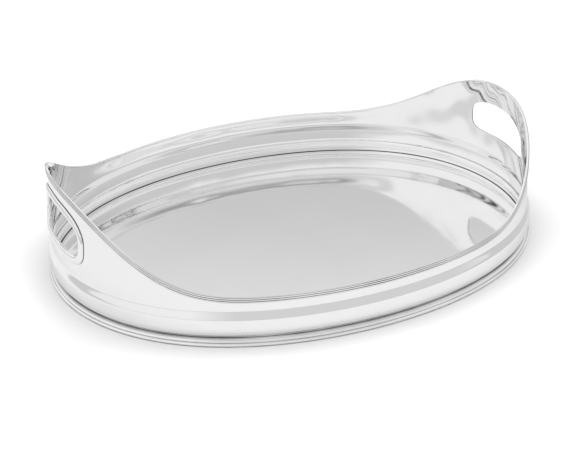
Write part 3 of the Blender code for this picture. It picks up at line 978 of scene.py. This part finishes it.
def build_floor(stage):
    """Wide plain floor; reflections see it turn grey beyond the white table's reach."""
    reach = 6.0
    corners = [(-reach, -reach), (reach, -reach), (reach, reach), (-reach, reach)]
    points = [(x, y, -0.00005) for x, y in corners]
    material = bpy.data.materials.new("studio_floor")
    material.use_nodes = True
    tree = material.node_tree
    shader = tree.nodes["Principled BSDF"]
    shader.inputs["Roughness"].default_value = 0.9
    shader.inputs["Specular IOR Level"].default_value = 0.0
    where = add_node(tree, "ShaderNodeTexCoord", (-1100, 0))
    table = add_node(tree, "ShaderNodeMapping", (-900, 0), vector_type="TEXTURE")
    table.inputs["Location"].default_value = (*stage.table_centre, 0.0)
    table.inputs["Scale"].default_value = (*stage.table_reach, 1.0)
    tree.links.new(where.outputs["Object"], table.inputs["Vector"])
    length = add_node(tree, "ShaderNodeVectorMath", (-700, 0), operation="LENGTH")
    tree.links.new(table.outputs[0], length.inputs[0])
    beyond = ranged(tree, length.outputs["Value"], 1.0, TABLE_EDGE, (-500, 0))
    mirrored = mixed(tree, beyond, stage.table_colour, stage.surround_colour, (-300, 0))
    path = add_node(tree, "ShaderNodeLightPath", (-500, -250))
    tone = mixed(tree, path.outputs["Is Glossy Ray"], stage.floor_colour, mirrored, (-100, 0))
    tree.links.new(tone, shader.inputs["Base Color"])
    floor = new_object("studio_floor", points, [[0, 1, 2, 3]], material)


def level_ramp(tree, elevation, stops, place):
    """Brightness by elevation, from (degrees, brightness) stops."""
    ramp = add_node(tree, "ShaderNodeValToRGB", place)
    elements = ramp.color_ramp.elements
    while len(elements) < len(stops):
        elements.new(0.5)
    for element, (degrees, bright) in zip(elements, stops):
        element.position = 0.5 + degrees / 180.0
        element.color = (bright, bright, bright, 1.0)
    tree.links.new(elevation, ramp.inputs["Fac"])
    return ramp.outputs["Color"]


def facing_share(tree, where, direction, span, place):
    """0 to 1 as a direction of the room turns towards the given one."""
    facing = add_node(tree, "ShaderNodeVectorMath", place, operation="DOT_PRODUCT")
    facing.inputs[1].default_value = direction
    tree.links.new(where.outputs["Generated"], facing.inputs[0])
    return ranged(tree, facing.outputs["Value"], *span, (place[0] + 300, place[1]))


def build_light(stage):
    """Studio light as a field of soft panels, by direction round the tray."""
    world = bpy.data.worlds.new("studio_light")
    bpy.context.scene.world = world
    world.use_nodes = True
    tree = world.node_tree
    light = tree.nodes["Background"]
    where = add_node(tree, "ShaderNodeTexCoord", (-1500, 0))
    split = add_node(tree, "ShaderNodeSeparateXYZ", (-1300, 0))
    tree.links.new(where.outputs["Generated"], split.inputs[0])
    sine = maths(tree, "ARCSINE", split.outputs["Z"], place=(-1100, 0))
    share = maths(tree, "DIVIDE", sine, math.pi, (-950, 0))
    elevation = maths(tree, "ADD", share, 0.5, (-800, 0))

    front = level_ramp(tree, elevation, FRONT_LIGHT, (-500, 300))
    behind = level_ramp(tree, elevation, REAR_LIGHT, (-500, 0))
    left = level_ramp(tree, elevation, LEFT_LIGHT, (-500, -300))
    back, across = view_directions(stage)[:2]
    towards = Vector((back.x, back.y, 0.0)).normalized()
    nearer = facing_share(tree, where, towards, (-0.25, 0.25), (-1100, -300))
    lefter = facing_share(tree, where, -across, (0.05, 0.40), (-1100, -600))
    depth = mixed(tree, nearer, behind, front, (-150, 0))
    room = mixed(tree, lefter, depth, left, (0, 0))

    path = add_node(tree, "ShaderNodeLightPath", (-400, -400))
    mirrored = path.outputs["Is Glossy Ray"]
    overhead = facing_share(tree, where, (0.0, 0.0, 1.0), (0.66, 0.88), (-1100, -900))
    overhead = maths(tree, "MULTIPLY", overhead, stage.fill, (-400, -900))
    plain = maths(tree, "MULTIPLY_ADD", path.outputs["Is Camera Ray"], BACKDROP, (-200, -900),
                  third=overhead)
    seen = mixed(tree, mirrored, plain, room, (50, 0))
    # Light that has left the floor and meets a mirror is held back, or it fills the shadow.
    bounced = maths(tree, "MULTIPLY", mirrored, path.outputs["Diffuse Depth"], (-150, -500))
    kept = maths(tree, "MULTIPLY_ADD", bounced, -1.0, (50, -500), third=1.0)
    kept.node.use_clamp = True
    soft = add_node(tree, "ShaderNodeVectorMath", (250, 0), operation="SCALE")
    tree.links.new(seen, soft.inputs[0])
    tree.links.new(kept, soft.inputs["Scale"])
    tree.links.new(soft.outputs[0], light.inputs["Color"])
    light.inputs["Strength"].default_value = stage.light


# ---------------------------------------------------------------- operators


class TRAY_OT_stage(bpy.types.Operator):
    """Set up the floor, the light and the camera"""

    bl_idname = "tray.stage"
    bl_label = "Studio"

    def execute(self, context):
        stage = context.scene.tray_stage
        context.scene.view_settings.view_transform = "Standard"
        build_floor(stage)
        build_light(stage)
        build_camera(stage)
        return {"FINISHED"}


class TRAY_OT_finish_groups(bpy.types.Operator):
    """Make the shared node groups of the metal finishes"""

    bl_idname = "tray.finish_groups"
    bl_label = "Finish Groups"

    def execute(self, context):
        polishing_marks()
        handling_haze()
        height_wear()
        return {"FINISHED"}


class TRAY_OT_floor_panel(bpy.types.Operator):
    """Add the flat floor panel"""

    bl_idname = "tray.floor_panel"
    bl_label = "Floor Panel"

    def execute(self, context):
        form = TrayForm(context.scene.tray_shape)
        metal = polished_metal("floor_metal", context.scene.tray_finish, shine=1.6,
                               fineness=0.7)
        place(build_floor_panel(form, metal), "floor_panel", "floor_metal")
        return {"FINISHED"}


class TRAY_OT_foot(bpy.types.Operator):
    """Add the moulded foot"""

    bl_idname = "tray.foot"
    bl_label = "Foot Moulding"

    def execute(self, context):
        form = TrayForm(context.scene.tray_shape)
        metal = polished_metal("foot_metal", context.scene.tray_finish, shine=1.6,
                               wear=(0.0, 0.0012))
        place(build_foot(form, metal), "foot_moulding", "foot_metal")
        return {"FINISHED"}


class TRAY_OT_gallery(bpy.types.Operator):
    """Add the two halves of the gallery wall with their hand holes"""

    bl_idname = "tray.gallery"
    bl_label = "Gallery Halves"

    def execute(self, context):
        form = TrayForm(context.scene.tray_shape)
        metal = polished_metal("gallery_metal", context.scene.tray_finish)
        for side, middle in (("right", 0.0), ("left", 0.5 * form.perimeter)):
            half = build_gallery_half(form, "tray_gallery_" + side, middle, metal)
            place(half, "gallery_half_" + side, "gallery_metal")
        return {"FINISHED"}


class TRAY_OT_rim_border(bpy.types.Operator):
    """Add the reeded border round the rim"""

    bl_idname = "tray.rim_border"
    bl_label = "Rim Border"

    def execute(self, context):
        form = TrayForm(context.scene.tray_shape)
        # The border's valleys get a lighter painted shade than the other joints.
        metal = polished_metal("rim_metal", context.scene.tray_finish, haze=0.05,
                               joint_shade_depth=0.6)
        place(build_rim_border(form, metal), "rim_border", "rim_metal")
        return {"FINISHED"}


class TRAY_OT_collars(bpy.types.Operator):
    """Add the raised borders of the hand holes"""

    bl_idname = "tray.collars"
    bl_label = "Hand Hole Collars"

    def execute(self, context):
        form = TrayForm(context.scene.tray_shape)
        metal = polished_metal("collar_metal", context.scene.tray_finish, haze=0.05)
        for side, middle in (("right", 0.0), ("left", 0.5 * form.perimeter)):
            collar = build_collar(form, "tray_collar_" + side, middle, metal)
            place(collar, "hand_hole_collar_" + side, "collar_metal")
        return {"FINISHED"}


class TRAY_PT_panel(bpy.types.Panel):
    """Lists the tray's settings and the steps that build it"""

    bl_idname = "TRAY_PT_panel"
    bl_label = "Serving Tray"
    bl_space_type = "VIEW_3D"
    bl_region_type = "UI"
    bl_category = "Tray"

    def draw(self, context):
        layout = self.layout
        for label, settings in (("Shape", context.scene.tray_shape),
                                ("Finish", context.scene.tray_finish),
                                ("Studio", context.scene.tray_stage)):
            box = layout.box()
            box.label(text=label)
            for name in settings.__annotations__:
                box.prop(settings, name)
        for operator in OPERATORS:
            layout.operator(operator.bl_idname)


SETTINGS = (TrayShape, TrayFinish, TrayStage)
OPERATORS = (TRAY_OT_stage, TRAY_OT_finish_groups, TRAY_OT_floor_panel, TRAY_OT_foot,
             TRAY_OT_gallery, TRAY_OT_rim_border, TRAY_OT_collars)


def register():
    for item in (*SETTINGS, *OPERATORS, TRAY_PT_panel):
        bpy.utils.register_class(item)
    bpy.types.Scene.tray_shape = PointerProperty(type=TrayShape)
    bpy.types.Scene.tray_finish = PointerProperty(type=TrayFinish)
    bpy.types.Scene.tray_stage = PointerProperty(type=TrayStage)


def unregister():
    del bpy.types.Scene.tray_stage
    del bpy.types.Scene.tray_finish
    del bpy.types.Scene.tray_shape
    for item in reversed((*SETTINGS, *OPERATORS, TRAY_PT_panel)):
        bpy.utils.unregister_class(item)


def main():
    register()
    for operator in OPERATORS:
        group, name = operator.bl_idname.split(".")
        getattr(getattr(bpy.ops, group), name)()


if __name__ == "__main__":
    main()
